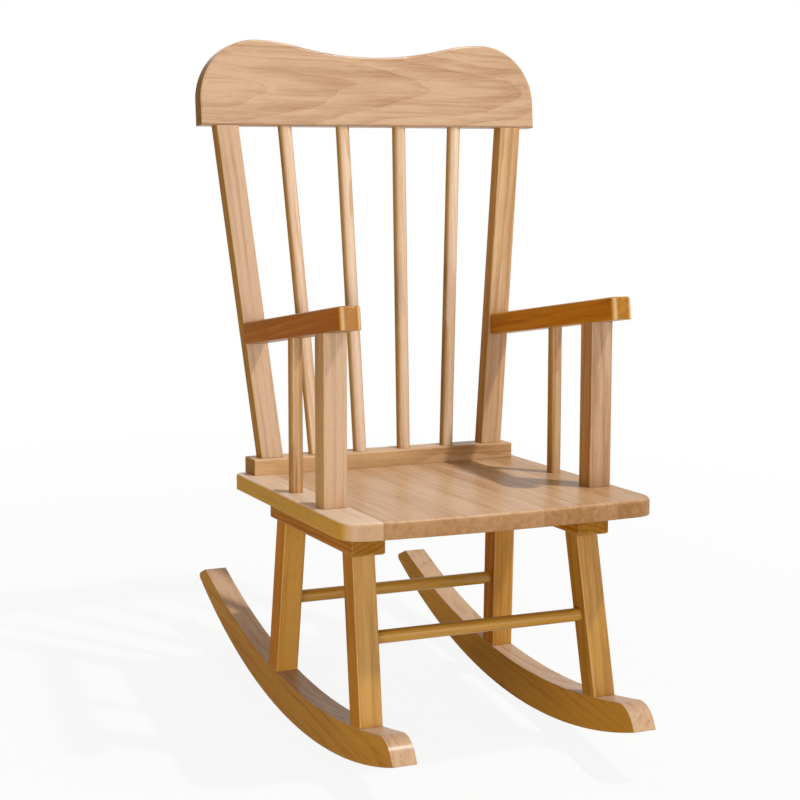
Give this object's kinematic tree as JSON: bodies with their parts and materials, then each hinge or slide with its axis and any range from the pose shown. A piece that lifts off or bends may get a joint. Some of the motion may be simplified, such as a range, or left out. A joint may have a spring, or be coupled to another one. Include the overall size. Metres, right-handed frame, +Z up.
{
  "type": "rocking chair",
  "caption": "Child's wooden rocking chair with a fanned spindle back, humped crest rail, sloping arms, plank seat and raked legs on curved rockers.",
  "frame": {"origin": "on the floor, midway between the rocker tips and midway between the sides", "axes": "+Z up, -Y the way a sitter faces, +X to the sitter's left"},
  "size_m": [0.41, 0.586, 0.7221],
  "materials": {
    "seat_wood": "satin lacquer, grain front to back",
    "frame_wood": "satin lacquer, grain along each piece"
  },
  "bodies": {
    "root": {"back_rail": "frame_wood", "back_spindle_1": "frame_wood", "back_spindle_2": "frame_wood", "back_spindle_3": "frame_wood", "back_spindle_4": "frame_wood", "crest_rail": "frame_wood", "front_stretcher": "frame_wood", "left_arm": "frame_wood", "left_arm_post": "frame_wood", "left_arm_spindle": "frame_wood", "left_back_post": "frame_wood", "left_cleat": "frame_wood", "left_front_leg": "frame_wood", "left_rear_leg": "frame_wood", "left_rocker": "frame_wood", "rear_stretcher": "frame_wood", "right_arm": "frame_wood", "right_arm_post": "frame_wood", "right_arm_spindle": "frame_wood", "right_back_post": "frame_wood", "right_cleat": "frame_wood", "right_front_leg": "frame_wood", "right_rear_leg": "frame_wood", "right_rocker": "frame_wood", "seat_stave_1": "seat_wood", "seat_stave_2": "seat_wood", "seat_stave_3": "seat_wood", "seat_stave_4": "seat_wood", "seat_stave_5": "seat_wood"}
  },
  "joints": []
}
